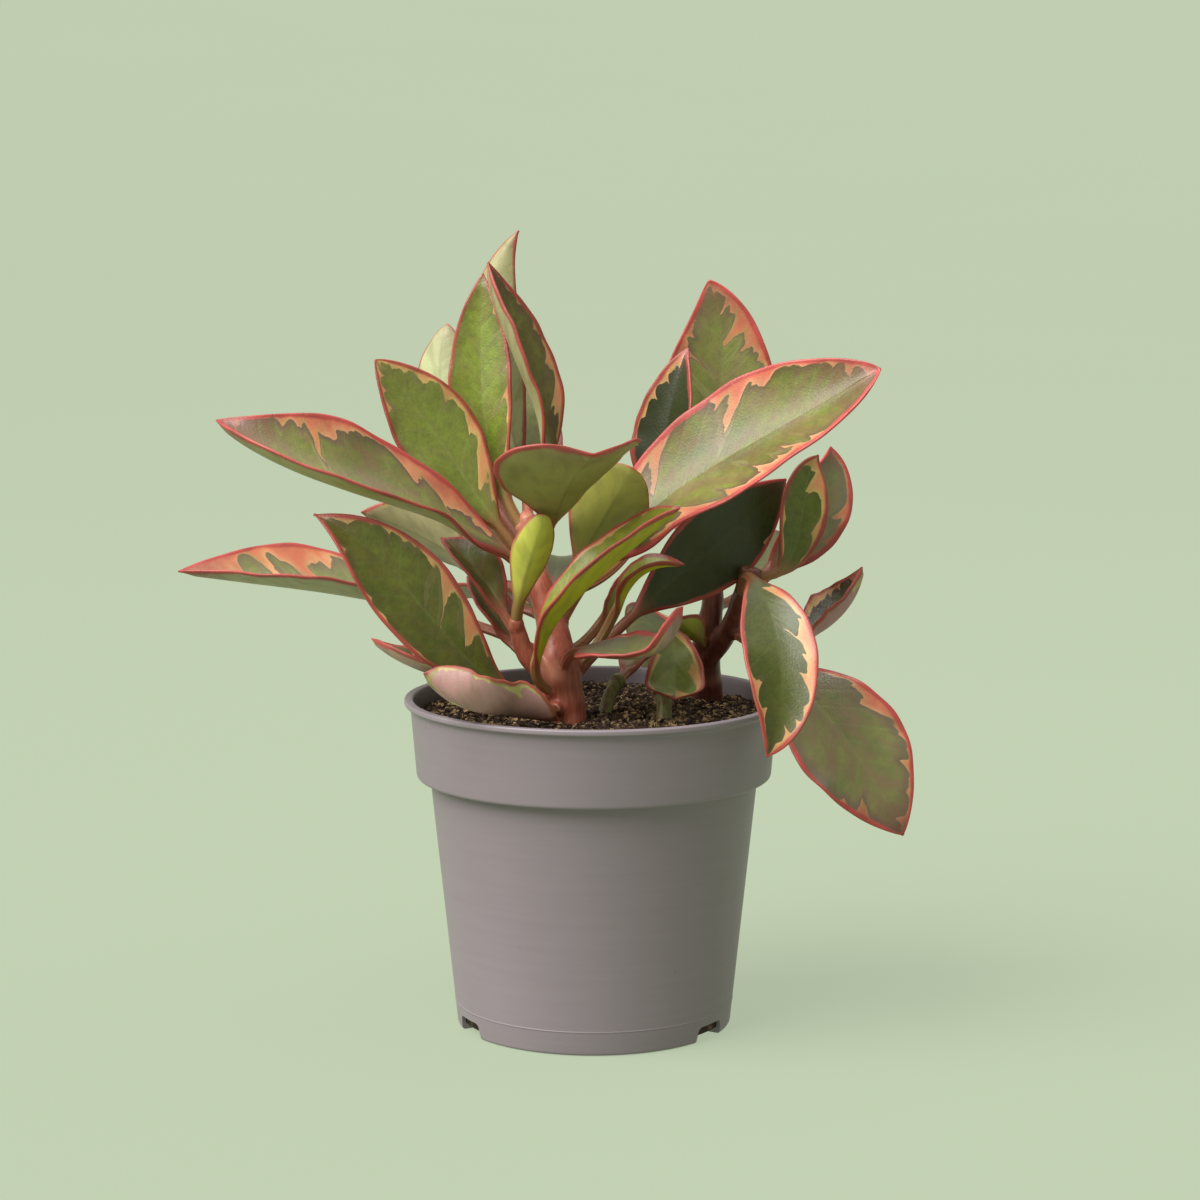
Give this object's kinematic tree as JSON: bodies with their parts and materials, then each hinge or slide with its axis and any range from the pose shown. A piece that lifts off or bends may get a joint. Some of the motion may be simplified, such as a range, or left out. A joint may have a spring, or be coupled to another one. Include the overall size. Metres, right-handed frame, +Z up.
{
  "type": "potted jellie peperomia",
  "caption": "Bushy potted plant with thick, glossy, pointed oval leaves in green, cream and salmon with pink-red margins, on reddish stems in a plain grey nursery pot.",
  "frame": {"origin": "centre of the pot's foot, on the surface it stands on", "axes": "+Z up along the pot's axis, -Y towards the side that the picture shows, +X to that side's right"},
  "size_m": [0.231, 0.1565, 0.2515],
  "materials": {
    "pot_plastic": "injection-moulded polypropylene, warm grey, satin",
    "potting_soil": "damp peat with fibres and bark crumbs, matt",
    "stem": "fleshy terracotta-red stem, satin",
    "leaf": "succulent waxy leaf, dark green centre, cream and salmon band, pink-red margin, semi-gloss",
    "young_leaf": "succulent waxy young leaf, yellow-green, thin red margin, semi-gloss"
  },
  "bodies": {
    "root": {"pot": "pot_plastic", "soil": "potting_soil", "stem_left": "stem", "stem_right": "stem", "shoot_front": "stem", "shoot_middle": "stem", "leaf_left_long": "leaf", "leaf_left_upper": "leaf", "leaf_centre_tall": "leaf", "leaf_centre_dark": "leaf", "leaf_back_tip": "leaf", "leaf_back_pale": "leaf", "leaf_young_front": "young_leaf", "leaf_fan": "young_leaf", "leaf_young_middle": "young_leaf", "leaf_folded_front": "young_leaf", "leaf_left_grey": "leaf", "leaf_left_inner": "leaf", "leaf_left_inner_low": "leaf", "leaf_left_broad": "leaf", "leaf_left_far": "leaf", "leaf_left_tucked": "leaf", "leaf_over_rim": "leaf", "leaf_right_large": "leaf", "leaf_right_shaded": "leaf", "leaf_top_right_narrow": "leaf", "leaf_top_right": "leaf", "leaf_right_back": "leaf", "leaf_right_striped": "leaf", "leaf_right_hanging": "leaf", "leaf_right_low": "leaf", "leaf_right_pointed": "leaf", "leaf_bud_right": "young_leaf", "leaf_front_cupped": "leaf", "leaf_front_small": "leaf", "leaf_hooked": "young_leaf", "leaf_slim_middle": "young_leaf", "leaf_soil_middle": "leaf", "leaf_rear_left": "leaf", "leaf_rear_upper": "leaf", "leaf_rear_centre": "leaf", "leaf_rear_right": "leaf", "leaf_rear_far_right": "leaf", "leaf_rear_drooping": "leaf", "leaf_rear_low_left": "leaf"}
  },
  "joints": []
}
